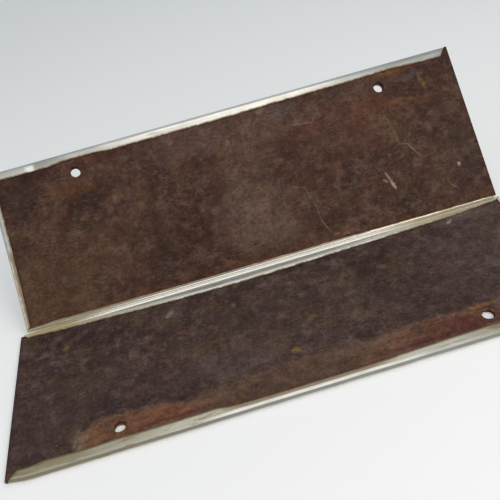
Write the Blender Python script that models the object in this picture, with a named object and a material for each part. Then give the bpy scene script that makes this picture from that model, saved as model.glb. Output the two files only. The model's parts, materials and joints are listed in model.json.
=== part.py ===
"""A pair of hemmed sheet-metal door plates, one lying flat and one leaning on it like an open book.

Each plate is a bright face sheet, folded over a steel backing sheet on both long edges and on one end.
The other end is left raw. Two screw holes sit near one long edge. The lower plate lies face down with
that edge towards -Y. The upper plate is turned half a turn from it, and it tilts about the round of its own
lower edge, which bears on the lower plate's rear hem. The plates differ a little in length and in their hems.

World frame: metres, +Z up, +X along the plates. The origin is the centre of the lower plate's face.
"""

from math import cos, pi, radians, sin

import bmesh
import bpy
from mathutils import Vector

MM = 0.001

# Both plates, each in its own frame: +X towards the raw end, +Y towards the screw holes, +Z out of the back.
PLATE_HEIGHT = 152.4 * MM
PLATE_THICKNESS = 4.0 * MM
FACE_SHEET = 0.8 * MM
LAYER_GAP = 0.3 * MM

# Folded edges.
MITRE_GAP = 0.3 * MM
RAW_END_SNIP = 2.5 * MM
RAW_END_SNIP_SLOPE = 0.7
TAB_GAP = 0.5 * MM
FOLD_STEPS = 12
SMOOTH_ANGLE = radians(35)

# Screw holes. The face sheet's holes are smaller, and were punched a little off the backing's.
BACKING_HOLE_RADIUS = 5.0 * MM
FACE_HOLE_RADIUS = 4.6 * MM
HOLE_SEGMENTS = 40

# What differs from plate to plate. A hem's width is measured from the outline to the hem's raw edge. Screw
# holes: in from one end, in from the hole edge, and how far the face sheet's hole is off the backing's.
LOWER = {
    "length": 461.5 * MM,
    "hole_hem": 8.5 * MM,
    "far_hem": 11.0 * MM,
    "end_hem": 4.5 * MM,
    "holes": (
        {"end": "raw", "from_end": 86.5 * MM, "from_edge": 21.5 * MM, "drift": (0.0, 1.7 * MM)},
        {"end": "hemmed", "from_end": 81.5 * MM, "from_edge": 22.0 * MM, "drift": (0.8 * MM, 0.2 * MM)},
    ),
}
UPPER = {
    "length": 450.0 * MM,
    "hole_hem": 7.5 * MM,
    "far_hem": 4.2 * MM,
    "end_hem": 5.0 * MM,
    "holes": (
        {"end": "hemmed", "from_end": 79.5 * MM, "from_edge": 19.5 * MM, "drift": (-0.8 * MM, -1.1 * MM)},
        {"end": "raw", "from_end": 74.5 * MM, "from_edge": 20.5 * MM, "drift": (-1.5 * MM, -1.7 * MM)},
    ),
}

# The open book.
LEAN = radians(45.7)
UPPER_SHIFT_X = 1.65 * MM
BEARING_GAP = 0.3 * MM

# Values that follow from the ones above.
FOLD_RADIUS = PLATE_THICKNESS / 2
FOLD_INNER_RADIUS = FOLD_RADIUS - FACE_SHEET
BACKING_BOTTOM = FACE_SHEET + LAYER_GAP
BACKING_TOP = PLATE_THICKNESS - FACE_SHEET - LAYER_GAP
HALF_HEIGHT = PLATE_HEIGHT / 2
FOLD_LINE_Y = HALF_HEIGHT - FOLD_RADIUS
PIVOT = Vector((
    UPPER_SHIFT_X,
    FOLD_LINE_Y,
    PLATE_THICKNESS + BEARING_GAP + FOLD_RADIUS,
))


def clear_scene():
    for item in list(bpy.data.objects):
        bpy.data.objects.remove(item, do_unlink=True)


def make_material(name, colour, metallic, roughness):
    material = bpy.data.materials.new(name)
    material.use_nodes = True
    shader = material.node_tree.nodes["Principled BSDF"]
    shader.inputs["Base Color"].default_value = (*colour, 1.0)
    shader.inputs["Metallic"].default_value = metallic
    shader.inputs["Roughness"].default_value = roughness
    return material


def add_object(name, bm, material=None):
    """Turn a bmesh into a named object with outward faces."""
    bmesh.ops.recalc_face_normals(bm, faces=bm.faces)
    mesh = bpy.data.meshes.new(name)
    bm.to_mesh(mesh)
    bm.free()
    item = bpy.data.objects.new(name, mesh)
    bpy.context.scene.collection.objects.link(item)
    if material:
        mesh.materials.append(material)
    return item


# Sheets ---------------------------------------------------------------------------------------------


def raw_end_inset(inward):
    """How far short of the raw end a long fold stops, at a distance inward from the outline."""
    return RAW_END_SNIP + RAW_END_SNIP_SLOPE * inward


def mitre_inset(inward):
    """How far short of the corner a fold stops where two folds meet at 45 degrees."""
    return inward + MITRE_GAP


def tabbed_corner(half_length):
    """A sheet's raw corner on the hole edge: a tab, then the fold line. The far edge's raw corner has no tab,
    so that it clears the other plate's hem."""
    tab_tip = half_length - raw_end_inset(0.0) + TAB_GAP
    tab_root = half_length - raw_end_inset(FOLD_RADIUS) + TAB_GAP
    return [(half_length, HALF_HEIGHT), (tab_tip, HALF_HEIGHT), (tab_root, FOLD_LINE_Y)]


def mirrored(points):
    return [(x, -y) for x, y in reversed(points)]


def fold_profile(hem):
    """Open J section of a folded edge, as (distance inward from the outline, height) points."""
    turns = [pi * step / FOLD_STEPS for step in range(FOLD_STEPS + 1)]

    def arc(radius):
        return [(FOLD_RADIUS - radius * sin(a), FOLD_RADIUS - radius * cos(a)) for a in turns]

    tip = [(hem, PLATE_THICKNESS), (hem, PLATE_THICKNESS - FACE_SHEET)]
    return arc(FOLD_RADIUS) + tip + arc(FOLD_INNER_RADIUS)[::-1]


def add_fold(bm, fold, roots):
    """Carry the sheet's edge round the fold's section. roots: start low and high, end low and high."""
    section = fold_profile(fold["hem"])[1:-1]
    outward = Vector(fold["outward"])
    along = outward.cross(Vector((0, 0, 1)))

    def ring(side, inset, low, high):
        points = [
            outward * (fold["reach"] - d) + along * side * (fold["span"] - inset(d)) + Vector((0, 0, z))
            for d, z in section
        ]
        return [low] + [bm.verts.new(p) for p in points] + [high]

    start = ring(-1, fold["start_inset"], roots[0], roots[1])
    end = ring(1, fold["end_inset"], roots[2], roots[3])
    bm.faces.new(start)
    bm.faces.new(end)
    for i in range(len(start) - 1):
        bm.faces.new((start[i], start[i + 1], end[i + 1], end[i]))


def folded_sheet(plate):
    """The face sheet before its holes are punched: a flat sheet with three folded edges."""
    half_length = plate["length"] / 2
    raw_x = half_length - raw_end_inset(FOLD_RADIUS)
    mitre_x = -half_length + mitre_inset(FOLD_RADIUS)
    mitre_y = HALF_HEIGHT - mitre_inset(FOLD_RADIUS)
    end_fold_x = -half_length + FOLD_RADIUS
    side = [(raw_x, FOLD_LINE_Y), (mitre_x, FOLD_LINE_Y), (end_fold_x, FOLD_LINE_Y), (end_fold_x, mitre_y)]
    outline = tabbed_corner(half_length) + side + mirrored([(half_length, FOLD_LINE_Y)] + side)

    bm = bmesh.new()
    low = [bm.verts.new((x, y, 0.0)) for x, y in outline]
    high = [bm.verts.new((x, y, FACE_SHEET)) for x, y in outline]
    bm.faces.new(low)
    bm.faces.new(high)

    folds = {
        3: {
            "hem": plate["hole_hem"],
            "reach": HALF_HEIGHT,
            "span": half_length,
            "outward": (0, 1, 0),
            "start_inset": mitre_inset,
            "end_inset": raw_end_inset,
        },
        6: {
            "hem": plate["end_hem"],
            "reach": half_length,
            "span": HALF_HEIGHT,
            "outward": (-1, 0, 0),
            "start_inset": mitre_inset,
            "end_inset": mitre_inset,
        },
        9: {
            "hem": plate["far_hem"],
            "reach": HALF_HEIGHT,
            "span": half_length,
            "outward": (0, -1, 0),
            "start_inset": raw_end_inset,
            "end_inset": mitre_inset,
        },
    }
    for i in range(len(outline)):
        j = (i + 1) % len(outline)
        if i in folds:
            add_fold(bm, folds[i], (low[j], high[j], low[i], high[i]))
        else:
            bm.faces.new((low[i], low[j], high[j], high[i]))
    return bm


def flat_sheet(plate):
    """The backing sheet before its holes are punched."""
    half_length = plate["length"] / 2
    far_side = [(half_length, FOLD_LINE_Y), (-half_length + FOLD_RADIUS, FOLD_LINE_Y)]
    outline = tabbed_corner(half_length) + far_side[1:] + mirrored(far_side)
    bm = bmesh.new()
    base = bm.faces.new([bm.verts.new((x, y, BACKING_BOTTOM)) for x, y in outline])
    grown = bmesh.ops.extrude_face_region(bm, geom=[base])
    risen = [v for v in grown["geom"] if isinstance(v, bmesh.types.BMVert)]
    bmesh.ops.translate(bm, verts=risen, vec=(0, 0, BACKING_TOP - BACKING_BOTTOM))
    return bm


# Pieces ---------------------------------------------------------------------------------------------


def hole_centre(plate, hole):
    side = 1 if hole["end"] == "raw" else -1
    return Vector((side * (plate["length"] / 2 - hole["from_end"]), HALF_HEIGHT - hole["from_edge"], 0.0))


def punch(sheet, centre, radius):
    """Cut a round screw hole with a helper cylinder, which stays out of the build."""
    bm = bmesh.new()
    bmesh.ops.create_cone(
        bm, cap_ends=True, segments=HOLE_SEGMENTS, radius1=radius, radius2=radius, depth=4 * PLATE_THICKNESS
    )
    cutter = add_object(f"{sheet.name}_punch", bm)
    cutter.location = centre
    cutter.parent = sheet
    cutter.hide_render = True
    cutter.display_type = "WIRE"
    boolean = sheet.modifiers.new("screw_hole", "BOOLEAN")
    boolean.operation = "DIFFERENCE"
    boolean.object = cutter


def face_sheet(name, plate, material):
    sheet = add_object(name, folded_sheet(plate), material)
    for hole in plate["holes"]:
        punch(sheet, hole_centre(plate, hole) + Vector((*hole["drift"], 0.0)), FACE_HOLE_RADIUS)
    sheet.data.shade_smooth()
    sheet.data.set_sharp_from_angle(angle=SMOOTH_ANGLE)
    return sheet


def backing_sheet(name, plate, material):
    sheet = add_object(name, flat_sheet(plate), material)
    for hole in plate["holes"]:
        punch(sheet, hole_centre(plate, hole), BACKING_HOLE_RADIUS)
    return sheet


def plate_pieces(prefix, plate, face_material, backing_material):
    return (
        face_sheet(f"{prefix}_face_sheet", plate, face_material),
        backing_sheet(f"{prefix}_backing_sheet", plate, backing_material),
    )


def shift_mesh(sheet, offset):
    """Move a sheet's geometry and its punches, so that its origin lands on the joint axis."""
    for vertex in sheet.data.vertices:
        vertex.co += offset
    for cutter in sheet.children:
        cutter.location += offset


def build():
    clear_scene()
    bright = make_material("worn_bright_plate", (0.74, 0.72, 0.65), 1.0, 0.32)
    brown = make_material("oxidised_steel", (0.085, 0.05, 0.038), 0.25, 0.62)

    for piece in plate_pieces("lower", LOWER, bright, brown):
        piece.rotation_euler.z = pi

    hinge_line = bpy.data.objects.new("upper_plate_hinge_line", None)
    bpy.context.scene.collection.objects.link(hinge_line)
    hinge_line.location = PIVOT
    hinge_line.rotation_euler.x = LEAN
    lower_edge_round = Vector((0.0, FOLD_LINE_Y, -FOLD_RADIUS))
    for piece in plate_pieces("upper", UPPER, bright, brown):
        shift_mesh(piece, lower_edge_round)
        piece.parent = hinge_line


build()
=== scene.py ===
"""Looks for the pair of hemmed door plates: dented hems, rust-stained brown backs, scratched bright fronts.

Each plate is built in its own frame, in millimetres: +X towards the raw end, +Y towards the screw holes,
+Z out of the back, with the front face at zero. Materials read the same coordinates from the mesh.
"""

import json
from math import atan2, cos, pi, radians, sin

import bmesh
import bpy
import numpy as np
from mathutils import Matrix, Vector, noise
from mathutils.geometry import delaunay_2d_cdt


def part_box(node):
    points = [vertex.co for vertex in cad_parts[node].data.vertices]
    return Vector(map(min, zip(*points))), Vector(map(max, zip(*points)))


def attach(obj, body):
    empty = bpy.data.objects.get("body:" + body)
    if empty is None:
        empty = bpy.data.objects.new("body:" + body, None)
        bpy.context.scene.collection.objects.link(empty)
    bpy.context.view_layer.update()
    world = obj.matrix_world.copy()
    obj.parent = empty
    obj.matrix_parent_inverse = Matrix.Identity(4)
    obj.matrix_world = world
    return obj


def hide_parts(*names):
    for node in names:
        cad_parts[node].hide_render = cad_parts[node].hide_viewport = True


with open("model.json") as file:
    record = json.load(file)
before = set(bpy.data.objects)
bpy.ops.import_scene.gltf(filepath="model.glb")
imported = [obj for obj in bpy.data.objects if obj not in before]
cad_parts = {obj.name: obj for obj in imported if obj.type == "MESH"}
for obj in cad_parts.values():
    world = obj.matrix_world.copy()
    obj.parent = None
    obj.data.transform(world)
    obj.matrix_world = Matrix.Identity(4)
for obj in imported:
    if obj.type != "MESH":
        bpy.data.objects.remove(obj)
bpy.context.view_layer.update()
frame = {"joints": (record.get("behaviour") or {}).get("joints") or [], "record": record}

MM = 0.001

# Sizes shared with the CAD plate, read from its boxes.
sheet_low, sheet_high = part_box("lower_face_sheet")
core_low, core_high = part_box("lower_backing_sheet")
upper_low, upper_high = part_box("upper_face_sheet")
HALF_LENGTH = {"lower": (sheet_high.x - sheet_low.x) / MM / 2, "upper": (upper_high.x - upper_low.x) / MM / 2}
HALF_HEIGHT = (sheet_high.y - sheet_low.y) / MM / 2
THICKNESS = (sheet_high.z - sheet_low.z) / MM
CORE_BOTTOM = core_low.z / MM
CORE_TOP = core_high.z / MM
FOLD_RADIUS = THICKNESS / 2
FOLD_LINE = HALF_HEIGHT - FOLD_RADIUS
SHEET = 0.8
# How far in from the outline a fold still rolls over, before its hem lies flat.
CREST = 3.6
# The least flat that a narrow hem keeps.
LEAST_FLAT = 0.8

# Corner cuts, as in the CAD.
RAW_END_SNIP = 2.5
RAW_END_SNIP_SLOPE = 0.7
TAB_GAP = 0.5
MITRE_GAP = 0.3

# Radii of the screw holes.
CORE_HOLE = 5.0
SHEET_HOLE = 4.6

# Steps between mesh points: along the folds, over the front, over the back and along the raw ends.
FOLD_STEP = 2.5
FRONT_STEP = 6.0
BACK_STEP = 4.0
BACK_EDGE_STEP = 3.0
RAW_END_STEP = 4.0
HOLE_SIDES = 48
TURN_STEPS = 7
# Rings of points round a hole, as multiples of its radius, and the nearest that other points come to it.
HOLE_RINGS = (1.0, 1.18, 1.5, 2.0)
HOLE_CLEARANCE = 2.3

# What the 'edge' and 'inward' attributes hold where there is no fold.
NO_FOLD = 99.0

# How far the bent corner by the holes reaches along the plate, and the flat margin of the uneven back.
BENT_CORNER = 22.0
EVEN_MARGIN = 14.0

TOLERANCE = 1e-6
WELD_DISTANCE = 0.02 * MM
SHARP_ANGLE = radians(38)


def plate_matrices():
    """Where each plate's own frame sits in the row frame."""
    centre = (sheet_low + sheet_high) / 2
    lower = Matrix.Translation((centre.x, centre.y, sheet_low.z)) @ Matrix.Rotation(pi, 4, "Z")
    joint = frame["joints"][0]
    out_of_back = next(m for m in frame["record"]["mounts"] if m["name"] == "upper_back_hem")["axis"]
    lean = atan2(-out_of_back[1], out_of_back[2])
    bearing = Matrix.Translation((0, FOLD_LINE * MM, -FOLD_RADIUS * MM))
    upper = Matrix.Translation(joint["pos_m"]) @ Matrix.Rotation(lean, 4, "X") @ bearing
    return {"lower": lower, "upper": upper}


# hole_hem, far_hem and end_hem: hem widths as (distance along the edge, width) pairs.
# corner_bend: how far a corner is bent inwards in the plate's plane.
# holes: the centre of each hole in the back, and how far its hole in the face has drifted from it.
# dents: (x, y, half length, half width, depth) of each dent in a hem.
# ragged_seed and uneven_seed: where in the noise the hems' raw edges and the uneven back are read.
PLATES = {
    "upper": {
        "ragged_seed": 3.0,
        "uneven_seed": 21.0,
        "hole_hem": ((-225, 8.0), (-176, 8.4), (-160, 6.8), (-125, 6.8), (-118, 8.2), (-22, 8.7), (27, 8.3),
                     (52, 7.7), (106, 7.8), (141, 7.5), (158, 6.7), (172, 6.6), (196, 7.9), (225, 8.2)),
        "far_hem": ((-225, 3.2), (-200, 4.4), (-160, 4.6), (-60, 4.2), (60, 4.0), (110, 3.3), (160, 2.9),
                    (225, 2.6)),
        "end_hem": ((-76, 4.2), (-40, 5.2), (20, 5.4), (76, 5.0)),
        "corner_bend": {"far_folded": 1.8, "hole_raw": 0.0},
        "holes": (((-145.5, 56.7), (-0.8, -1.1)), ((150.5, 55.7), (-1.5, -1.7))),
        "dents": ((-68, 70.0, 7.0, 2.2, 0.75), (-60, 67.5, 6.0, 1.6, -0.5), (-187, 70, 2.0, 3.0, 0.4)),
    },
    "lower": {
        "ragged_seed": 11.0,
        "uneven_seed": 33.0,
        "hole_hem": ((-231, 11.4), (-145, 10.9), (-96, 9.9), (-74, 9.2), (-68, 8.6), (-61, 8.3), (-47, 8.1),
                     (0, 8.0), (44, 8.1), (57, 8.7), (66, 9.4), (72, 11.2), (122, 10.3), (151, 11.0),
                     (175, 10.1), (211, 11.0), (222, 9.4), (231, 9.0)),
        "far_hem": ((-231, 5.6), (-219, 6.4), (-186, 9.6), (-145, 10.8), (-103, 11.8), (-40, 13.4),
                    (17, 14.6), (78, 13.6), (139, 11.2), (163, 9.9), (192, 8.7), (222, 6.2), (231, 5.6)),
        "end_hem": ((-76, 4.5), (0, 5.0), (76, 4.5)),
        "corner_bend": {"far_folded": 0.0, "hole_raw": 3.4},
        "holes": (((144.25, 54.7), (0.1, 2.1)), ((-149.25, 54.2), (0.8, 0.2))),
        "dents": ((96, 71.0, 14, 3, 0.4), (-104, 70.0, 9, 3, 0.4)),
    },
}


# Meshes ---------------------------------------------------------------------------------------------


def along(pairs, s):
    """The width at distance s, read off a list of (distance, width) pairs."""
    return float(np.interp(s, [p[0] for p in pairs], [p[1] for p in pairs]))


def raw_end_inset(inward):
    return RAW_END_SNIP + RAW_END_SNIP_SLOPE * inward


def mitre_inset(inward):
    return inward + MITRE_GAP


def wobble(x, y, size, seed):
    """Smooth noise between about -1 and 1, with features of a given size."""
    return noise.noise(Vector((x / size, y / size, seed)))


def spaced(start, end, step):
    """Points from start to end, both included, about step apart."""
    count = max(1, round(abs(end - start) / step))
    return [start + (end - start) * i / count for i in range(count + 1)]


def polyline(points, step):
    """A closed outline with extra points on its long sides."""
    out = []
    for (x0, y0), (x1, y1) in zip(points, points[1:] + points[:1]):
        length = ((x1 - x0) ** 2 + (y1 - y0) ** 2) ** 0.5
        count = max(1, round(length / step))
        out += [(x0 + (x1 - x0) * i / count, y0 + (y1 - y0) * i / count) for i in range(count)]
    return out


def fill(outline, holes, spacing):
    """Fill an outline with triangles, round its (x, y, radius) holes. Returns points and faces."""
    points = list(outline)
    edges = [(i, (i + 1) % len(outline)) for i in range(len(outline))]
    for cx, cy, radius in holes:
        for grow in HOLE_RINGS:
            first = len(points)
            angles = [2 * pi * i / HOLE_SIDES for i in range(HOLE_SIDES)]
            points += [(cx + radius * grow * cos(t), cy + radius * grow * sin(t)) for t in angles]
            if grow == 1.0:
                edges += [(first + i, first + (i + 1) % HOLE_SIDES) for i in range(HOLE_SIDES)]
    xs = [p[0] for p in outline]
    ys = [p[1] for p in outline]
    margin = spacing * 0.6
    row_step = spacing * 0.866
    row = 0
    y = min(ys) + margin
    while y < max(ys) - margin:
        x = min(xs) + margin + (spacing / 2 if row % 2 else 0)
        while x < max(xs) - margin:
            if all((x - cx) ** 2 + (y - cy) ** 2 > (HOLE_CLEARANCE * r) ** 2 for cx, cy, r in holes):
                points.append((x, y))
            x += spacing
        y += row_step
        row += 1
    area = [list(range(len(outline)))]
    inside_only = 1
    filled = delaunay_2d_cdt([Vector(p) for p in points], edges, area, inside_only, TOLERANCE)
    verts, faces = filled[0], filled[2]
    kept = []
    for face in faces:
        mx = sum(verts[i].x for i in face) / len(face)
        my = sum(verts[i].y for i in face) / len(face)
        if all((mx - cx) ** 2 + (my - cy) ** 2 > (0.99 * r) ** 2 for cx, cy, r in holes):
            kept.append(face)
    return [(v.x, v.y) for v in verts], kept


def bend(plate, x, y, z):
    """A plate point after its knocks: one bent corner and dented hems."""
    inwards = PLATES[plate]["corner_bend"]
    half = HALF_LENGTH[plate]
    dy = 0.0
    if y < 0 and x < 0:
        dy += inwards["far_folded"] * (abs(x) / half) ** 3 * min(1.0, abs(y) / HALF_HEIGHT) ** 2
    if y > 0 and x > half - BENT_CORNER:
        share = (x - (half - BENT_CORNER)) / BENT_CORNER
        dy -= inwards["hole_raw"] * share * share * (y / HALF_HEIGHT) ** 6
    dz = 0.0
    on_back = z > FOLD_RADIUS + 0.1
    if on_back:
        for cx, cy, rx, ry, depth in PLATES[plate]["dents"]:
            dz -= depth * np.exp(-(((x - cx) / rx) ** 2) - ((y - cy) / ry) ** 2)
    return x, y + dy, z + float(dz)


def new_object(name, verts, faces, plate, extra=None):
    """A mesh object in a plate's frame. verts are (x, y, z) in mm; materials read them unbent as 'plate'."""
    mesh = bpy.data.meshes.new(name)
    bent = [bend(plate, *v) for v in verts]
    mesh.from_pydata([(x * MM, y * MM, z * MM) for x, y, z in bent], [], faces)
    local = mesh.attributes.new("plate", "FLOAT_VECTOR", "POINT")
    local.data.foreach_set("vector", np.array(verts, np.float32).ravel())
    for key, values in (extra or {}).items():
        item = mesh.attributes.new(key, "FLOAT", "POINT")
        item.data.foreach_set("value", np.array(values, np.float32))
    obj = bpy.data.objects.new(name, mesh)
    bpy.context.scene.collection.objects.link(obj)
    return obj


def weld(obj):
    """Join the points that meet, and turn every face so that the front looks down."""
    bm = bmesh.new()
    bm.from_mesh(obj.data)
    bmesh.ops.remove_doubles(bm, verts=bm.verts, dist=WELD_DISTANCE)
    bmesh.ops.recalc_face_normals(bm, faces=bm.faces)
    front = min(bm.faces, key=lambda f: f.calc_center_median().z + abs(f.calc_center_median().y) * 1e-3)
    if front.normal.z > 0:
        bmesh.ops.reverse_faces(bm, faces=bm.faces)
    bm.to_mesh(obj.data)
    bm.free()


def thicken(obj, thickness, inside=0):
    """Give a sheet its thickness. Its hidden side takes the material that many slots further on."""
    solid = obj.modifiers.new("sheet_thickness", "SOLIDIFY")
    solid.thickness = thickness * MM
    solid.offset = -1
    solid.use_even_offset = True
    solid.material_offset = inside
    obj.data.shade_smooth()
    obj.data.set_sharp_from_angle(angle=SHARP_ANGLE)


def crest_at(hem):
    """How far in a hem of this width still rolls over."""
    return min(CREST, hem - LEAST_FLAT)


def fold_rows(hem):
    """(inward distance, height) down a fold's section, from the front face round to the hem's raw edge."""
    crest = crest_at(hem)
    quarter = [pi / 2 * i / TURN_STEPS for i in range(TURN_STEPS + 1)]
    under = [(FOLD_RADIUS - FOLD_RADIUS * sin(t), FOLD_RADIUS - FOLD_RADIUS * cos(t)) for t in quarter[:-1]]
    over = [(crest - crest * cos(t), FOLD_RADIUS + FOLD_RADIUS * sin(t)) for t in quarter]
    return under + over + [(crest + (hem - crest) * f, THICKNESS) for f in (0.25, 0.5, 0.75, 1.0)]


def flat_outline(plate, long_side, end_side):
    """A sheet's flat outline, given the points of its sides. Its raw corner by the holes is a small tab."""
    half = HALF_LENGTH[plate]
    tab_tip = half - raw_end_inset(0.0) + TAB_GAP
    tab_root = half - raw_end_inset(FOLD_RADIUS) + TAB_GAP
    hole_side = [(tab_root, FOLD_LINE)] + [(x, FOLD_LINE) for x in long_side]
    far_side = [(x, -FOLD_LINE) for x in long_side[::-1]]
    raw = [(half, y) for y in spaced(-FOLD_LINE, HALF_HEIGHT, RAW_END_STEP)] + [(tab_tip, HALF_HEIGHT)]
    return hole_side + end_side + far_side + raw


def face_sheet(plate):
    """The bright sheet: a flat front with three folded edges."""
    shape = PLATES[plate]
    half = HALF_LENGTH[plate]
    seed = shape["ragged_seed"]
    raw_x = half - raw_end_inset(FOLD_RADIUS)
    mitre_x = -half + mitre_inset(FOLD_RADIUS)
    mitre_y = HALF_HEIGHT - mitre_inset(FOLD_RADIUS)
    end_fold = -half + FOLD_RADIUS
    long_stations = spaced(raw_x, mitre_x, FOLD_STEP)
    end_stations = spaced(mitre_y, -mitre_y, FOLD_STEP)
    end_side = [(end_fold, FOLD_LINE)] + [(end_fold, y) for y in end_stations] + [(end_fold, -FOLD_LINE)]
    holes = [(x + dx, y + dy, SHEET_HOLE) for (x, y), (dx, dy) in shape["holes"]]
    flat, faces = fill(flat_outline(plate, long_stations, end_side), holes, FRONT_STEP)
    verts = [(x, y, 0.0) for x, y in flat]
    edge = [NO_FOLD] * len(verts)
    inward = [NO_FOLD] * len(verts)

    def add_fold(outward, reach, span, start_inset, end_inset, hem_at):
        """Rows of points round one fold. outward: the unit direction from the plate's middle to its edge."""
        out = Vector(outward)
        run = Vector((-out.y, out.x))
        stations = long_stations if out.x == 0 else end_stations
        count = len(stations)
        first = len(verts)
        depth = len(fold_rows(1.0))
        for i in range(count):
            share = i / (count - 1)
            hem = hem_at(out * reach + run * (-span + 2 * span * share))
            for d, z in fold_rows(hem):
                low = -span + start_inset(d)
                high = span - end_inset(d)
                point = out * (reach - d) + run * (low + (high - low) * share)
                verts.append((point.x, point.y, z))
                on_flat = d >= crest_at(hem) - TOLERANCE and z > FOLD_RADIUS
                edge.append(hem - d if on_flat else NO_FOLD)
                inward.append(d if z > 0.05 else NO_FOLD)
        for i in range(count - 1):
            for j in range(depth - 1):
                a = first + i * depth + j
                faces.append([a, a + 1, a + depth + 1, a + depth])

    def long_hem(key):
        def at(middle):
            ragged = 0.3 * wobble(middle.x, 0.0, 22.0, seed) + 0.12 * wobble(middle.x, 5.0, 8.0, seed)
            return along(shape[key], middle.x) + ragged
        return at

    def end_hem(middle):
        return along(shape["end_hem"], middle.y) + 0.25 * wobble(middle.y, 9.0, 20.0, seed)

    add_fold((0, 1), HALF_HEIGHT, half, raw_end_inset, mitre_inset, long_hem("hole_hem"))
    add_fold((-1, 0), half, HALF_HEIGHT, mitre_inset, mitre_inset, end_hem)
    add_fold((0, -1), HALF_HEIGHT, half, mitre_inset, raw_end_inset, long_hem("far_hem"))

    obj = new_object(f"{plate}_plate_bright_face", verts, faces, plate, {"edge": edge, "inward": inward})
    weld(obj)
    thicken(obj, SHEET, inside=1)
    return obj


def backing_sheet(plate):
    """The brown steel sheet under the folds."""
    shape = PLATES[plate]
    half = HALF_LENGTH[plate]
    outline = polyline(flat_outline(plate, [-half + FOLD_RADIUS], []), BACK_EDGE_STEP)
    holes = [(x, y, CORE_HOLE) for (x, y), _ in shape["holes"]]
    flat, faces = fill(outline, holes, BACK_STEP)
    unevenness = 0.12
    burr_height = 0.22
    verts = []
    for x, y in flat:
        inside = min(half - abs(x), HALF_HEIGHT - abs(y)) > EVEN_MARGIN
        z = CORE_TOP + (unevenness * wobble(x, y, 38.0, shape["uneven_seed"]) if inside else 0.0)
        for cx, cy, radius in holes:
            away = ((x - cx) ** 2 + (y - cy) ** 2) ** 0.5
            burr = max(0.0, 1 - (away - radius) / (radius * 0.5)) ** 2
            z += burr_height * burr if away < radius * 1.5 else 0.0
        verts.append((x, y, z))
    for i, face in enumerate(faces):
        a, b, c = (Vector(flat[corner]) for corner in face[:3])
        if (b - a).cross(c - a) <= 0:
            faces[i] = face[::-1]
    obj = new_object(f"{plate}_plate_steel_back", verts, faces, plate)
    thicken(obj, CORE_TOP - CORE_BOTTOM)
    return obj


# Materials ------------------------------------------------------------------------------------------


def srgb(r, g, b):
    """A display colour, 0 to 255, as linear RGBA."""
    def channel(v):
        v /= 255
        return v / 12.92 if v <= 0.04045 else ((v + 0.055) / 1.055) ** 2.4
    return channel(r), channel(g), channel(b), 1.0


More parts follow.
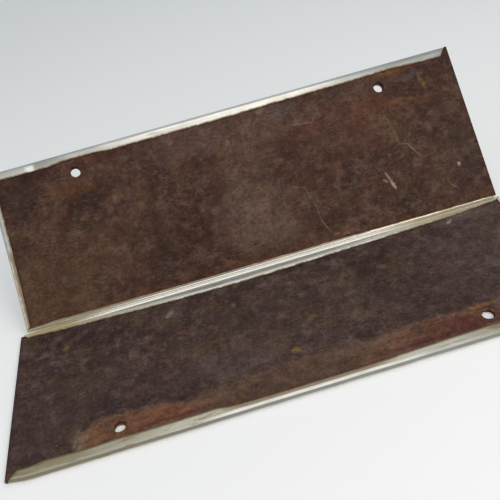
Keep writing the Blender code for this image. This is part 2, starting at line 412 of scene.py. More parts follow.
class Finish:
    """A material whose nodes read a plate's own millimetre coordinates.

    flat is the place without its height. ragged and crisp are flat pushed about, a lot and a little, so that
    the ovals and lines drawn on them get uneven edges. Each noise is read at a place of its own, by its seed.
    """

    def __init__(self, name, seed):
        self.material = bpy.data.materials.new(name)
        self.material.use_nodes = True
        self.tree = self.material.node_tree
        self.shader = self.tree.nodes["Principled BSDF"]
        self.seed = seed
        self.place = self.node("ShaderNodeAttribute", attribute_name="plate").outputs["Vector"]
        split = self.node("ShaderNodeSeparateXYZ", {0: self.place})
        self.x, self.y, self.z = split.outputs[0], split.outputs[1], split.outputs[2]
        flat = self.node("ShaderNodeCombineXYZ", {0: self.x, 1: self.y, 2: 0.0})
        self.flat = flat.outputs[0]
        drift = self.node("ShaderNodeTexNoise", {"Vector": self.flat, "Scale": 0.16, "Detail": 3.0})
        centred = self.vector("SUBTRACT", drift.outputs["Color"], (0.5, 0.5, 0.5))
        pushed = self.vector("MULTIPLY", centred, (7.0, 7.0, 0.0))
        self.ragged = self.vector("ADD", self.flat, pushed)
        fine = self.node("ShaderNodeTexNoise", {"Vector": self.flat, "Scale": 0.5, "Detail": 2.0})
        centred = self.vector("SUBTRACT", fine.outputs["Color"], (0.5, 0.5, 0.5))
        self.crisp = self.vector("ADD", self.flat, self.vector("MULTIPLY", centred, (1.6, 1.6, 0.0)))

    def node(self, kind, inputs=None, **settings):
        made = self.tree.nodes.new(kind)
        for key, value in settings.items():
            setattr(made, key, value)
        for key, value in (inputs or {}).items():
            if isinstance(value, bpy.types.NodeSocket):
                self.tree.links.new(value, made.inputs[key])
            else:
                made.inputs[key].default_value = value
        return made

    def vector(self, operation, a, b):
        return self.node("ShaderNodeVectorMath", {0: a, 1: b}, operation=operation).outputs[0]

    def math(self, operation, a, b=0.0, clamp=False):
        return self.node("ShaderNodeMath", {0: a, 1: b}, operation=operation, use_clamp=clamp).outputs[0]

    def remap(self, value, low, high, to_low=0.0, to_high=1.0):
        """A smooth ramp over a value from low to high. It falls where low is the larger of the two."""
        inputs = {"Value": value, "From Min": low, "From Max": high, "To Min": to_low, "To Max": to_high}
        return self.node("ShaderNodeMapRange", inputs, interpolation_type="SMOOTHSTEP").outputs["Result"]

    def noise(self, size, detail=3.0, stretch=(1.0, 1.0), turn=0.0, roughness=0.55, vector=None):
        """Noise between 0 and 1 with features about size mm across, stretched along a turned direction."""
        self.seed += 17.3
        mapping = self.node(
            "ShaderNodeMapping",
            {
                "Vector": vector or self.place,
                "Location": (self.seed, self.seed * 0.7, self.seed * 0.3),
                "Rotation": (0.0, 0.0, radians(turn)),
                "Scale": (1 / stretch[0], 1 / stretch[1], 1.0),
            },
        )
        made = self.node(
            "ShaderNodeTexNoise",
            {"Vector": mapping.outputs[0], "Scale": 1 / size, "Detail": detail, "Roughness": roughness},
        )
        return made.outputs["Fac"]

    def mix(self, share, a, b, blend="MIX"):
        """Colour a with a share of colour b. The node's colour sockets are inputs 6 and 7 and output 2."""
        made = self.tree.nodes.new("ShaderNodeMix")
        made.data_type = "RGBA"
        made.blend_type = blend
        for index, value in ((0, share), (6, a), (7, b)):
            if isinstance(value, bpy.types.NodeSocket):
                self.tree.links.new(value, made.inputs[index])
            else:
                made.inputs[index].default_value = value
        return made.outputs[2]

    def patch(self, x, y, rx, ry, turn=0.0, soft=0.5, vector=None):
        """A soft-edged oval, 1 inside and 0 outside."""
        placed = self.node(
            "ShaderNodeMapping",
            {
                "Vector": vector or self.ragged,
                "Location": (x, y, 0.0),
                "Rotation": (0.0, 0.0, radians(turn)),
                "Scale": (rx, ry, 1.0),
            },
            vector_type="TEXTURE",
        ).outputs[0]
        reach = self.node("ShaderNodeVectorMath", {0: placed}, operation="LENGTH").outputs["Value"]
        return self.remap(reach, 1.0 + soft, max(0.0, 1.0 - soft))

    def line(self, x0, y0, x1, y1, width, soft=0.6):
        """A scratch between two points."""
        length = ((x1 - x0) ** 2 + (y1 - y0) ** 2) ** 0.5
        turn = atan2(y1 - y0, x1 - x0) * 180 / pi
        return self.patch((x0 + x1) / 2, (y0 + y1) / 2, length / 2, width / 2, turn, soft, self.crisp)

    def times(self, *factors):
        """The product of two or more values."""
        out = factors[0]
        for factor in factors[1:]:
            out = self.math("MULTIPLY", out, factor)
        return out

    def bump(self, height, distance, strength, under=None):
        """A bumpy normal, on top of another one if given. distance is in metres."""
        inputs = {"Height": height, "Distance": distance, "Strength": strength}
        if under is not None:
            inputs["Normal"] = under
        return self.node("ShaderNodeBump", inputs).outputs["Normal"]

    def set(self, **inputs):
        """Give the shader's inputs, named in lower case with underscores, values or links."""
        for key, value in inputs.items():
            socket = self.shader.inputs[key.replace("_", " ").title()]
            if isinstance(value, bpy.types.NodeSocket):
                self.tree.links.new(value, socket)
            else:
                socket.default_value = value


# Marks on the brown backs, in each plate's own millimetres.
# A patch or a spot is (x, y, half length, half width, turn, softness, colour, strength).
# A line is (x, y, x, y, width, colour, strength).
UPPER_PATCHES = (
    (-205, 58, 36, 24, 0, 0.6, (54, 40, 34), 0.75),
    (-188, -40, 62, 44, 8, 0.6, (86, 66, 50), 0.7),
    (-160, 42, 18, 9, 4, 0.7, (98, 70, 50), 0.5),
    (-138, 40, 9, 4, 10, 0.6, (124, 82, 46), 0.45),
    (-120, 62, 34, 4.5, 3, 0.6, (72, 36, 36), 0.65),
    (-40, 56, 46, 16, 0, 0.6, (94, 76, 72), 0.7),
    (22, 46, 34, 20, 12, 0.6, (100, 80, 70), 0.7),
    (2, -24, 30, 27, 20, 0.7, (104, 88, 80), 0.75),
    (14, -48, 30, 12, 0, 0.7, (98, 82, 74), 0.65),
    (55, 60, 15, 5, 8, 0.6, (84, 80, 88), 0.55),
    (72, 46, 13, 4, 12, 0.6, (108, 94, 88), 0.6),
    (110, 26, 60, 26, 0, 0.7, (86, 58, 46), 0.5),
    (140, 38, 64, 9, -1, 0.8, (100, 66, 54), 0.45),
    (172, 42.5, 19, 3.4, -5, 0.5, (56, 46, 36), 0.85),
    (166, 37.5, 18, 2.4, -5, 0.6, (106, 72, 48), 0.6),
    (192, 50, 2.2, 9, 5, 0.5, (116, 92, 56), 0.75),
    (186, 60, 10, 2, 0, 0.5, (70, 78, 86), 0.5),
    (170, 67.5, 28, 2.4, 2, 0.5, (118, 76, 44), 0.75),
    (120, 60, 34, 9, 0, 0.6, (88, 66, 58), 0.5),
    (-82, -30, 20, 26, 30, 0.7, (62, 42, 34), 0.5),
    (-113, -62, 34, 9, 0, 0.7, (62, 42, 32), 0.6),
    (-30, -66, 14, 2.4, 0, 0.7, (106, 72, 40), 0.5),
    (205, -20, 16, 50, 0, 0.6, (70, 56, 50), 0.5),
    (60, -55, 20, 12, 0, 0.7, (66, 46, 36), 0.4),
)
UPPER_SPOTS = (
    (133.8, -32.5, 1.2, 9.0, 17, 0.5, (166, 152, 136), 0.7),
    (129, -32.5, 1.1, 2.6, 50, 0.5, (156, 142, 128), 0.65),
    (135.6, -38, 1.5, 3.6, 15, 0.5, (178, 164, 148), 0.75),
    (71, -67, 2.6, 0.9, 8, 0.6, (150, 128, 112), 0.7),
    (80, -69, 3.4, 0.9, 4, 0.6, (140, 116, 100), 0.65),
    (91, -69.5, 2.2, 0.8, 0, 0.6, (146, 122, 106), 0.65),
    (201, -36, 1.5, 1.7, 0, 0.5, (176, 160, 146), 0.85),
    (-2, 44, 1.6, 2.2, 0, 0.6, (140, 118, 104), 0.7),
    (-117, 24, 2.4, 2.0, 0, 0.6, (122, 106, 92), 0.6),
    (-202, 23, 1.0, 1.6, 0, 0.6, (120, 108, 98), 0.6),
    (12, -9, 7.0, 1.0, 8, 0.6, (110, 96, 74), 0.55),
    (4, -10, 2.5, 1.2, 0, 0.6, (64, 66, 72), 0.5),
    (36, 65, 5, 2.5, 12, 0.6, (132, 112, 106), 0.6),
    (85, -68, 6, 1.6, 0, 0.6, (128, 96, 84), 0.6),
    (-60, -22, 3, 2, 0, 0.7, (100, 82, 72), 0.4),
)
UPPER_LINES = (
    (41.5, -12, 55, -18, 1.0, (120, 104, 92), 0.6),
    (55, -18, 60, -36, 1.0, (120, 104, 92), 0.6),
    (60, -36, 61, -51, 1.0, (124, 106, 92), 0.65),
    (61, -51, 67, -66, 1.1, (128, 110, 96), 0.7),
    (146.5, 31.5, 151, 12, 0.9, (126, 108, 96), 0.55),
    (151, 12, 152.5, -1.5, 0.9, (130, 112, 100), 0.6),
    (152.5, -1.5, 160, -4.5, 1.0, (136, 118, 106), 0.65),
    (160, -4.5, 167.5, -16.5, 1.1, (138, 120, 108), 0.7),
    (163, 8, 173, -16, 0.8, (112, 96, 86), 0.4),
    (185.5, -45, 187.6, -52.5, 1.1, (124, 108, 98), 0.6),
    (187.6, -52.5, 194.5, -58.5, 1.1, (124, 108, 98), 0.6),
    (60, 43.5, 79, 40.5, 1.6, (122, 108, 102), 0.6),
    (79, 40.5, 88, 49.5, 1.6, (122, 108, 102), 0.55),
    (-134, -49, -130, -59, 1.1, (116, 96, 76), 0.6),
    (-127, -49, -131, -58, 1.0, (112, 92, 72), 0.5),
    (-141, 42, -131, 48, 1.2, (116, 100, 88), 0.6),
    (-200, 36, -188, 10, 0.8, (96, 78, 66), 0.4),
    (0, 70, 26, 66, 0.9, (116, 100, 96), 0.4),
    (100, 30, 128, 34, 0.9, (106, 82, 74), 0.4),
    (-75, 60, -66, 30, 0.8, (102, 84, 76), 0.35),
)

LOWER_PATCHES = (
    (164, 24, 60, 26, 0, 0.7, (60, 46, 44), 0.6),
    (211, 50, 30, 30, 0, 0.7, (66, 54, 50), 0.5),
    (50, 26, 34, 14, -8, 0.6, (88, 74, 72), 0.6),
    (-114, 10, 40, 30, 0, 0.7, (62, 50, 49), 0.5),
    (-179, -20, 36, 60, 0, 0.7, (80, 67, 65), 0.6),
    (6, -8, 60, 30, 0, 0.7, (76, 60, 52), 0.45),
    (94, -48, 7, 7, 0, 0.6, (96, 86, 80), 0.5),
    (116, -62, 40, 8, 0, 0.7, (78, 64, 54), 0.4),
    (-199, -64, 26, 6, 0, 0.6, (98, 88, 84), 0.55),
)
LOWER_SPOTS = (
    (188, -43, 2.8, 2.2, 0, 0.6, (128, 92, 58), 0.7),
    (-0.5, 33, 3.6, 3.0, 0, 0.6, (132, 106, 54), 0.8),
    (-22, 4, 4.2, 3.0, 20, 0.7, (108, 88, 58), 0.6),
    (1, -8, 4.0, 3.6, 0, 0.7, (98, 88, 68), 0.5),
    (145, 23, 4.6, 4.0, 0, 0.7, (96, 86, 78), 0.5),
    (-15, -43, 3.0, 1.8, 0, 0.6, (116, 102, 96), 0.6),
    (38, -36, 2.4, 2.4, 0, 0.6, (104, 92, 86), 0.5),
    (70, -31, 3.0, 2.4, 0, 0.6, (100, 90, 84), 0.5),
    (94, -48, 2.2, 5.0, -40, 0.6, (132, 120, 106), 0.85),
    (86, -14, 5.0, 2.0, -30, 0.7, (92, 80, 76), 0.5),
    (-174, -61, 3.4, 1.6, 30, 0.5, (156, 142, 132), 0.75),
    (-186, -66, 12, 1.8, 4, 0.6, (112, 102, 100), 0.6),
    (-52, -26, 1.0, 1.0, 0, 0.6, (110, 90, 86), 0.4),
)
LOWER_LINES = (
    (-92, -2, -104, -12, 0.9, (108, 90, 80), 0.5),
    (-188, -6, -198, -19, 0.9, (104, 92, 88), 0.45),
    (-54, -40, -24, -52, 0.8, (88, 74, 70), 0.4),
    (156, -10, 126, -24, 0.8, (84, 70, 66), 0.35),
)


def mark(finish, colour, patches, vector, fade):
    """Lay soft coloured ovals over a colour. fade breaks them up a little."""
    for x, y, rx, ry, turn, soft, tone, strength in patches:
        inside = finish.patch(x, y, rx, ry, turn, soft, vector)
        colour = finish.mix(finish.times(inside, strength, fade), colour, srgb(*tone))
    return colour


def scratches(f, turn, width, length, cover):
    """Thin marks along one direction. cover: the noise level above which they show, so higher is rarer."""
    streaks = f.noise(width, 2.0, stretch=(length / width, 1.0), turn=turn, roughness=0.5, vector=f.flat)
    return f.remap(streaks, cover, cover + 0.07)


# base, light and dark are the mottled browns. depth darkens and warms the whole, and wear is how much of the
# fine scratches shows.
BACKS = {
    "upper": {"seed": 5.0, "base": (72, 50, 40), "light": (90, 70, 60), "dark": (54, 36, 29),
              "depth": (0.8, 0.7, 0.64), "wear": 1.0,
              "patches": UPPER_PATCHES, "spots": UPPER_SPOTS, "lines": UPPER_LINES},
    "lower": {"seed": 205.0, "base": (66, 50, 47), "light": (82, 67, 65), "dark": (50, 37, 36),
              "depth": (0.9, 0.85, 0.82), "wear": 0.6,
              "patches": LOWER_PATCHES, "spots": LOWER_SPOTS, "lines": LOWER_LINES},
}


def brown_back(plate):
    """Oxidised steel: mottled brown, with stains, scratches and, on the lower plate, a tide mark."""
    look = BACKS[plate]
    f = Finish(f"{plate}_back_oxidised_steel", look["seed"])
    cloud = f.noise(46.0, 4.0)
    blotch = f.noise(11.0, 5.0, roughness=0.62)
    mottle = f.noise(3.0, 4.0, roughness=0.7)
    grit = f.noise(0.9, 2.0, roughness=0.7)
    colour = f.mix(f.remap(cloud, 0.36, 0.62), srgb(*look["dark"]), srgb(*look["base"]))
    colour = f.mix(f.times(f.remap(blotch, 0.5, 0.7), 0.7), colour, srgb(*look["light"]))
    colour = oxide_tones(f, colour)
    fade = f.remap(f.noise(7.0, 5.0, roughness=0.68), 0.32, 0.6, 0.4, 1.0)
    colour = mark(f, colour, look["patches"], f.ragged, fade)
    if plate == "lower":
        colour = tide_mark(f, colour, fade)
    worn = f.remap(f.noise(30.0, 2.0), 0.4, 0.62, 0.15, 1.0)
    colour = fine_scratches(f, colour, worn, look["wear"])
    broken = f.remap(f.noise(2.2, 2.0, roughness=0.7), 0.3, 0.55, 0.3, 1.0)
    colour = mark(f, colour, look["spots"], f.crisp, broken)
    for x0, y0, x1, y1, width, tone, strength in look["lines"]:
        drawn = f.times(f.line(x0, y0, x1, y1, width), broken, strength)
        colour = f.mix(drawn, colour, srgb(*tone))
    colour = rust(f, colour, plate)
    # Grain over everything, with pale flecks and dark pits.
    speckle = f.math("ADD", f.times(mottle, 0.45), f.math("ADD", f.times(grit, 0.25), f.times(blotch, 0.3)))
    grain = f.remap(speckle, 0.34, 0.66, 0.57, 1.44)
    tint = f.node("ShaderNodeCombineXYZ", {0: grain, 1: grain, 2: grain}).outputs[0]
    colour = f.mix(1.0, colour, tint, "MULTIPLY")
    colour = f.mix(1.0, colour, (*look["depth"], 1.0), "MULTIPLY")
    flecks = f.noise(1.2, 1.0, roughness=0.5)
    colour = f.mix(f.times(f.remap(flecks, 0.68, 0.76), worn, 0.6), colour, srgb(130, 112, 100))
    colour = f.mix(f.times(f.remap(flecks, 0.3, 0.24), 0.6), colour, srgb(38, 26, 22))
    rough = f.remap(f.math("ADD", f.times(blotch, 0.5), f.times(mottle, 0.5)), 0.3, 0.7, 0.72, 0.5)
    pits = f.bump(grit, 0.0002, 0.3)
    swell = f.bump(f.math("ADD", mottle, f.times(blotch, 1.5)), 0.0004, 0.25, pits)
    f.set(base_color=colour, roughness=rough, metallic=0.0, normal=swell)
    f.shader.inputs["Specular IOR Level"].default_value = 0.12
    return f.material


def oxide_tones(f, colour):
    """Clouds of other browns and greys, from large to small."""
    for size, low, high, amount, tone in (
        (24.0, 0.48, 0.62, 0.5, (84, 68, 50)),
        (17.0, 0.5, 0.66, 0.4, (84, 54, 45)),
        (14.0, 0.54, 0.66, 0.5, (92, 80, 80)),
        (8.0, 0.54, 0.66, 0.6, (48, 34, 29)),
        (5.0, 0.57, 0.68, 0.4, (98, 80, 71)),
    ):
        share = f.times(f.remap(f.noise(size, 4.0, roughness=0.62), low, high), amount)
        colour = f.mix(share, colour, srgb(*tone))
    return colour


def fine_scratches(f, colour, worn, wear):
    """Pale scratches in four directions and dark ones in another, thicker where the back is worn."""
    for turn, width, length, cover, amount in (
        (62.0, 0.7, 11.0, 0.6, 0.34),
        (-28.0, 0.6, 9.0, 0.61, 0.28),
        (12.0, 0.7, 14.0, 0.62, 0.26),
        (96.0, 0.8, 8.0, 0.62, 0.26),
    ):
        drawn = f.times(scratches(f, turn, width, length, cover), worn, amount * wear)
        colour = f.mix(drawn, colour, srgb(128, 108, 96))
    scored = f.times(scratches(f, 35.0, 0.8, 10.0, 0.6), worn, 0.4)
    return f.mix(scored, colour, srgb(40, 27, 23))


def rust(f, colour, plate):
    """Rust creeping out from under the long hems, and in rings round the screw holes."""
    near_hem = f.remap(f.math("ABSOLUTE", f.y), 62.0, 71.0)
    creep = f.times(near_hem, f.remap(f.noise(7.0, 4.0, roughness=0.65), 0.42, 0.62))
    colour = f.mix(f.times(creep, 0.6), colour, srgb(94, 58, 36))
    for (x, y), _ in PLATES[plate]["holes"]:
        dirty = f.remap(f.noise(3.0, 3.0), 0.4, 0.6, 0.2, 1.0)
        ring = f.times(f.patch(x, y, 9.0, 8.5, 0, 0.3, f.crisp), dirty)
        colour = f.mix(f.times(ring, 0.5), colour, srgb(58, 42, 38))
        rusty = f.remap(f.noise(4.0, 3.0), 0.52, 0.64)
        ring = f.times(f.patch(x, y, 7.5, 7.0, 0, 0.2, f.crisp), rusty)
        colour = f.mix(f.times(ring, 0.6), colour, srgb(112, 74, 44))
    return colour


def tide_mark(f, colour, fade):
    """Rust brown left by standing water along the hole edge, with a paler tide line."""
    rusty = f.remap(f.noise(6.0, 4.0, stretch=(3.0, 1.0), roughness=0.65), 0.36, 0.64)
    for x, y, rx, ry, turn, soft, dull, bright, strength in (
        (-196, 62, 46, 15, 4, 0.2, (84, 52, 44), (104, 70, 50), 0.8),
        (-104, 62, 56, 19, 0, 0.2, (84, 50, 42), (108, 74, 54), 0.8),
        (10, 64, 84, 19, 0, 0.35, (80, 62, 50), (98, 74, 56), 0.75),
        (154, 60, 22, 17.5, 0, 0.14, (98, 72, 54), (122, 88, 62), 0.85),
        (128, 60, 44, 16, -4, 0.14, (94, 62, 48), (120, 82, 60), 0.85),
    ):
        wet = f.patch(x, y, rx, ry, turn, soft)
        tone = f.mix(rusty, srgb(*dull), srgb(*bright))
        colour = f.mix(f.times(wet, strength, fade), colour, tone)
        tide_line = f.times(wet, f.math("SUBTRACT", 1.0, wet), 4.0, 0.25)
        colour = f.mix(tide_line, colour, srgb(124, 99, 82))
    for x, y, rx, ry, tone, strength in (
        (176, 58, 4.5, 10, (120, 106, 86), 0.7),
        (98, 60.5, 30, 1.7, (78, 36, 34), 0.8),
        (-106, 61.5, 58, 1.8, (78, 34, 38), 0.8),
        (-150, 44, 14, 1.6, (132, 92, 44), 0.75),
        (-140, 54, 30, 5, (96, 50, 46), 0.6),
        (110, 56, 40, 4, (112, 72, 52), 0.5),
    ):
        streak = f.patch(x, y, rx, ry)
        colour = f.mix(f.times(streak, strength, fade), colour, srgb(*tone))
    return colour


class Hems:
    """Where the hems are on a bright face, as node outputs from 0 to 1, and distances in millimetres."""

    def __init__(self, f, plate):
        self.edge = f.node("ShaderNodeAttribute", attribute_name="edge").outputs["Fac"]
        self.inward = f.node("ShaderNodeAttribute", attribute_name="inward").outputs["Fac"]
        self.here = f.remap(f.z, 1.0, 2.4)
        self.hole_side = f.remap(f.y, -5.0, 5.0)
        self.far_side = f.math("SUBTRACT", 1.0, self.hole_side)
        # Along the row from left to right, which runs the other way on the lower plate.
        self.along = f.times(f.x, -1.0 if plate == "lower" else 1.0)
        # The painted highlight along the line on which the plates bear is whitest in its middle, and is
        # yellow at its left end.
        self.middle = f.times(f.remap(self.along, -188.0, -142.0), f.remap(self.along, 160.0, 90.0))
        ends = f.mix(f.remap(self.along, -195.0, -165.0), srgb(188, 164, 110), srgb(196, 186, 160))
        self.highlight_colour = f.mix(self.middle, ends, srgb(253, 251, 246))


def bright_face(plate):
    """Worn bright sheet metal: scratched and hazy on the front, tarnished and rust-flecked on the hems, with
    painted highlights, reflections and shade on the hems.
    """
    f = Finish(f"{plate}_face_bright_metal", 405.0 if plate == "upper" else 605.0)
    hems = Hems(f, plate)
    cloud = f.noise(40.0, 3.0, vector=f.flat)
    streak = f.noise(1.6, 3.0, stretch=(22.0, 1.0), roughness=0.6, vector=f.flat)
    haze = f.noise(7.0, 4.0, stretch=(3.0, 1.0), roughness=0.6, vector=f.flat)
    speck = f.noise(1.4, 3.0, roughness=0.7, vector=f.flat)
    colour = f.mix(f.remap(streak, 0.3, 0.7), srgb(214, 211, 201), srgb(238, 236, 230))
    colour = f.mix(f.times(f.remap(haze, 0.5, 0.7), 0.35), colour, srgb(188, 180, 160))
    # Beige film on the flat of a hem, worn off along its crest.
    hole_crest = f.times(hems.hole_side, f.remap(hems.inward, 4.4, 3.4))
    far_crest = f.times(hems.far_side, f.remap(hems.inward, 3.2, 2.6))
    off_crest = f.math("SUBTRACT", 1.0, f.times(f.math("ADD", hole_crest, far_crest), 0.85))
    film = f.times(hems.here, off_crest, f.remap(cloud, 0.3, 0.6, 0.5, 1.0))
    colour = f.mix(f.times(film, 0.6), colour, srgb(200, 190, 170))
    # Khaki towards both ends of every hem: partly tarnish, partly a painted dimmer reflection.
    from_middle = f.math("ADD", f.math("ABSOLUTE", f.x), f.times(f.math("SUBTRACT", cloud, 0.5), 120.0))
    tarnish_and_dim_reflection = f.times(f.remap(from_middle, 90.0, 200.0), hems.here, f.remap(haze, 0.3, 0.6, 0.6, 1.0))
    plate_hems = lower_hems if plate == "lower" else upper_hems
    colour, film, painted_highlight, grime_and_shade = plate_hems(f, hems, colour, film, tarnish_and_dim_reflection)
    # Dirt and rust along the raw edge of the hems.
    patchy = f.remap(f.noise(6.0, 3.0, roughness=0.6, vector=f.flat), 0.36, 0.56, 0.3, 1.0)
    dirt = f.times(f.remap(hems.edge, 1.7, 0.5), patchy)
    colour = f.mix(f.times(dirt, 0.85), colour, srgb(98, 80, 52))
    flecks = f.times(f.remap(speck, 0.64, 0.72), f.remap(cloud, 0.4, 0.6), hems.here)
    colour = f.mix(f.times(flecks, 0.7), colour, srgb(84, 66, 50))
    # Bare metal is smooth. Whatever covers it is rougher and not metallic, and so are the painted shade and
    # the painted highlight.
    covered = f.math("MAXIMUM", f.math("MAXIMUM", dirt, flecks), grime_and_shade)
    rough = f.remap(haze, 0.3, 0.7, 0.15, 0.26)
    rough = f.math("ADD", rough, f.times(film, 0.16))
    rough = f.math("ADD", rough, f.times(tarnish_and_dim_reflection, 0.14))
    rough = f.math("ADD", rough, f.times(covered, 0.3), clamp=True)
    rough = f.math("ADD", rough, f.times(painted_highlight, 0.1))
    metal = f.math("SUBTRACT", 1.0, f.times(film, 0.35))
    metal = f.math("SUBTRACT", metal, f.times(covered, 0.85), clamp=True)
    metal = f.math("SUBTRACT", metal, f.times(painted_highlight, 0.8), clamp=True)
    off_hem = f.math("SUBTRACT", 1.0, f.times(hems.here, 0.8))
    scratch = f.bump(f.times(streak, off_hem), 0.0001, 0.12)
    wavy = f.bump(f.noise(26.0, 1.0, vector=f.flat), 0.001, 0.12, scratch)
    f.set(base_color=colour, roughness=rough, metallic=metal, normal=wavy)
    return f.material


def lower_hems(f, hems, colour, film, tarnish_and_dim_reflection):
    """The lower plate's hems. Returns the colour, film, painted highlight, and the dark band of grime and
    painted shade.
    """
    # Tarnish and a painted dimmer reflection, khaki, towards the ends.
    colour = f.mix(f.times(tarnish_and_dim_reflection, 0.8), colour, srgb(158, 146, 112))
    # The hole edge's hem is duller and streaked with dirt, except where it is narrow and worn bright.
    narrow = f.remap(f.x, 84.0, 52.0)
    bright = f.times(narrow, f.remap(hems.inward, 5.0, 4.2))
    film = f.math("SUBTRACT", film, f.times(bright, hems.hole_side, 0.6), clamp=True)
    dull = f.math("SUBTRACT", 1.0, f.times(bright, 0.9))
    front = f.times(f.remap(f.y, 55.0, 62.0), hems.here, dull)
    colour = f.mix(f.times(front, 0.6), colour, srgb(184, 174, 152))
    # Darker khaki by the raw edge near the ends: tarnish and a painted dimmer reflection.
    colour = f.mix(f.times(front, tarnish_and_dim_reflection, f.remap(hems.edge, 9.0, 5.0), 0.7), colour, srgb(132, 120, 84))
    stained = f.times(front, narrow, f.remap(f.x, -75.0, -50.0), f.remap(hems.edge, 4.6, 2.6))
    stained = f.math("MAXIMUM", stained, f.times(front, f.remap(hems.edge, 2.2, 1.0), 0.7))
    colour = f.mix(f.times(stained, 0.75), colour, srgb(122, 98, 80))
    smears = f.noise(2.4, 3.0, stretch=(8.0, 1.0), roughness=0.65, vector=f.flat)
    colour = f.mix(f.times(front, f.remap(smears, 0.54, 0.64), 0.55), colour, srgb(112, 102, 76))
    # The far hem is grey behind its raw edge, a painted dark reflection of the upper plate's back, and pale
    # next to the line on which the plates bear, a painted highlight.
    on_fold = f.remap(hems.inward, 90.0, 60.0)
    dark_reflection = f.times(hems.far_side, hems.here, f.remap(hems.inward, 4.8, 5.8), on_fold)
    dark_reflection = f.times(dark_reflection, f.remap(hems.edge, 3.6, 4.8), hems.middle, 0.75)
    colour = f.mix(dark_reflection, colour, srgb(110, 113, 114))
    painted_highlight = f.times(hems.far_side, hems.here, f.remap(hems.inward, 5.8, 4.8))
    colour = f.mix(f.times(painted_highlight, 0.85), colour, hems.highlight_colour)
    # Partly grime and partly painted shade: a dark band on the hole hem's round, yellower towards the left.
    grime_and_shade = f.times(hems.hole_side, f.remap(hems.inward, 2.2, 1.6), f.remap(f.z, 1.8, 2.6))
    grime_and_shade_colour = f.mix(f.remap(hems.along, -150.0, -60.0), srgb(94, 88, 66), srgb(88, 88, 88))
    colour = f.mix(f.times(grime_and_shade, 0.85), colour, grime_and_shade_colour)
    return colour, film, painted_highlight, grime_and_shade


def upper_hems(f, hems, colour, film, tarnish_and_dim_reflection):
    """The upper plate's hems. Returns the colour, film, painted highlight, and the band of painted shade."""
    # Towards the ends: tarnish and a painted dimmer reflection, grey on the hole edge and khaki on the far
    # edge.
    end_tone = f.mix(hems.hole_side, srgb(150, 144, 118), srgb(136, 136, 128))
    colour = f.mix(f.times(tarnish_and_dim_reflection, 0.8), colour, end_tone)
    # Painted dimmer reflection: the hole edge's hem turns grey towards the raw end.
    dull = f.times(hems.hole_side, hems.here, f.remap(f.x, 70.0, 150.0))
    colour = f.mix(f.times(dull, 0.5), colour, srgb(128, 132, 132))
    # Painted light: the folded end of the hole edge's hem is painted paler, with one painted bright glint.
    lit_end = f.times(hems.hole_side, hems.here, f.remap(hems.along, -182.0, -187.0))
    colour = f.mix(f.times(lit_end, 0.4), colour, srgb(226, 220, 210))
    between = f.times(f.remap(hems.along, -180.0, -183.0), f.remap(hems.along, -191.0, -187.0))
    painted_glint = f.times(hems.hole_side, hems.here, between, f.remap(hems.inward, 2.0, 3.0))
    colour = f.mix(f.times(painted_glint, 0.8), colour, srgb(254, 252, 248))
    # The far hem is painted beige along its flat, a dimmer reflection there, and pale low on its round, a
    # painted highlight.
    flat = f.times(hems.far_side, hems.here, f.remap(hems.inward, 1.4, 2.6))
    colour = f.mix(f.times(flat, 0.8), colour, srgb(140, 124, 102))
    painted_highlight = f.times(hems.far_side, f.remap(hems.inward, 1.0, 0.5), f.remap(f.z, 0.6, 1.4))
    colour = f.mix(f.times(painted_highlight, 0.85), colour, hems.highlight_colour)
    # A painted dim reflection: the hole hem's round is painted grey.
    grime_and_shade = f.times(hems.hole_side, f.remap(hems.inward, 3.4, 1.4), 0.8)
    colour = f.mix(f.times(grime_and_shade, 0.85), colour, srgb(128, 130, 136))
    return colour, film, painted_highlight, grime_and_shade


def build_plates():
    places = plate_matrices()
    for plate in ("lower", "upper"):
        sheet = face_sheet(plate)
        back = backing_sheet(plate)
        brown = brown_back(plate)
        sheet.data.materials.append(bright_face(plate))
        sheet.data.materials.append(brown)
        back.data.materials.append(brown)
        for obj, node, slot in (
            (sheet, f"{plate}_face_sheet", "bright_face"),
            (back, f"{plate}_backing_sheet", "oxidised_backing"),
        ):
            obj.matrix_world = places[plate]
            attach(obj, f"{plate}_plate")
            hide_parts(node)


# Studio ---------------------------------------------------------------------------------------------


# Soft boxes: (name, place, target, size, power, colour), in metres and watts.
SOFT_BOXES = (
    ("key_softbox", (0.66, -0.75, 0.8), (0.2, -0.15, 0.0), (0.6, 0.6), 5.4, (1.0, 0.93, 0.84)),
    ("top_softbox", (0.09, -0.3, 1.02), (0.02, 0.17, 0.1), (0.65, 0.5), 0.95, (1.0, 0.99, 0.98)),
    ("front_softbox", (0.05, -1.1, 0.3), (0.0, 0.07, 0.0), (1.4, 0.4), 2.1, (1.0, 0.96, 0.9)),
    ("back_softbox", (0.06, 0.38, 0.9), (0.0, -0.07, 0.0), (0.6, 0.7), 0.6, (1.0, 0.99, 0.97)),
    ("left_softbox", (-0.8, -0.3, 0.4), (-0.28, 0.05, 0.0), (0.4, 0.4), 0.8, (1.0, 0.95, 0.9)),
)
HORIZON_LIGHT = 0.52
OVERHEAD_LIGHT = 0.71
ROOM_COLOUR = (0.92, 0.97, 1.0, 1.0)

FLOOR_REACH = 30.0
# Just under the lower plate, so that the floor and its front don't share a plane.
FLOOR_LEVEL = -0.0002

LENS = 43.541
CAMERA_PLACE = Vector((-0.03379, -0.34711, 0.36937))
CAMERA_AHEAD = Vector((0.04438, 0.77441, -0.63112))
CAMERA_ROLL = radians(-14.236)


def area_light(name, place, target, size, power, colour):
    data = bpy.data.lights.new(name, "AREA")
    data.shape = "RECTANGLE"
    data.size, data.size_y = size
    data.energy = power
    data.color = colour
    obj = bpy.data.objects.new(name, data)
    obj.location = place
    obj.rotation_euler = (Vector(target) - Vector(place)).to_track_quat("-Z", "Y").to_euler()
    bpy.context.scene.collection.objects.link(obj)


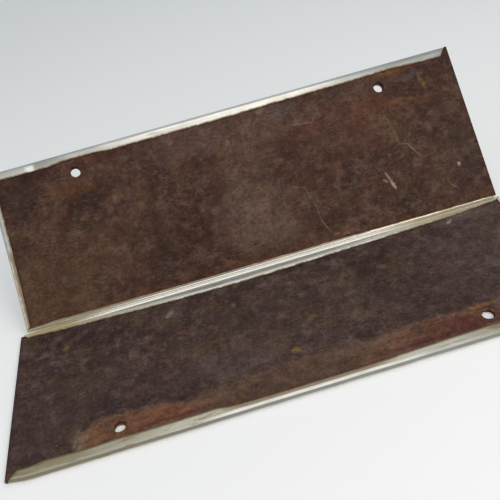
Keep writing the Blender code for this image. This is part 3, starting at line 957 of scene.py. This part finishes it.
def soft_room():
    """Even light from all round, brighter overhead than at the horizon."""
    world = bpy.data.worlds.new("soft_room")
    world.use_nodes = True
    tree = world.node_tree
    heading = tree.nodes.new("ShaderNodeTexCoord")
    split = tree.nodes.new("ShaderNodeSeparateXYZ")
    height = tree.nodes.new("ShaderNodeMapRange")
    height.inputs["From Min"].default_value = 0.0
    height.inputs["From Max"].default_value = 0.9
    height.inputs["To Min"].default_value = HORIZON_LIGHT
    height.inputs["To Max"].default_value = OVERHEAD_LIGHT
    tree.links.new(heading.outputs["Generated"], split.inputs[0])
    tree.links.new(split.outputs["Z"], height.inputs["Value"])
    sky = tree.nodes["Background"]
    sky.inputs["Color"].default_value = ROOM_COLOUR
    tree.links.new(height.outputs["Result"], sky.inputs["Strength"])
    bpy.context.scene.world = world


def pale_floor():
    """A plain floor, the colour of white paper, far larger than the plates."""
    signs = ((-1, -1), (1, -1), (1, 1), (-1, 1))
    corners = [(x * FLOOR_REACH, y * FLOOR_REACH, FLOOR_LEVEL) for x, y in signs]
    mesh = bpy.data.meshes.new("studio_floor")
    mesh.from_pydata(corners, [], [(0, 1, 2, 3)])
    floor = bpy.data.objects.new("studio_floor", mesh)
    bpy.context.scene.collection.objects.link(floor)
    paint = bpy.data.materials.new("pale_floor")
    paint.use_nodes = True
    shader = paint.node_tree.nodes["Principled BSDF"]
    shader.inputs["Base Color"].default_value = srgb(238, 238, 238)
    shader.inputs["Roughness"].default_value = 0.7
    shader.inputs["Specular IOR Level"].default_value = 0.2
    mesh.materials.append(paint)


def photo_camera():
    """The camera in front of the plates and above them, looking down and tilted to one side."""
    camera_data = bpy.data.cameras.new("photo_camera")
    camera_data.sensor_width = 36.0
    camera_data.lens = LENS
    camera_data.clip_start = 0.01
    camera = bpy.data.objects.new("photo_camera", camera_data)
    ahead = CAMERA_AHEAD.normalized()
    level = ahead.cross(Vector((0, 0, 1))).normalized()
    right = level * cos(CAMERA_ROLL) + level.cross(ahead) * sin(CAMERA_ROLL)
    turned = Matrix((right, right.cross(ahead), -ahead)).transposed()
    camera.matrix_world = Matrix.Translation(CAMERA_PLACE) @ turned.to_4x4()
    bpy.context.scene.collection.objects.link(camera)
    bpy.context.scene.camera = camera


def studio():
    pale_floor()
    soft_room()
    for soft_box in SOFT_BOXES:
        area_light(*soft_box)
    photo_camera()
    bpy.context.scene.view_settings.view_transform = "Standard"


build_plates()
studio()
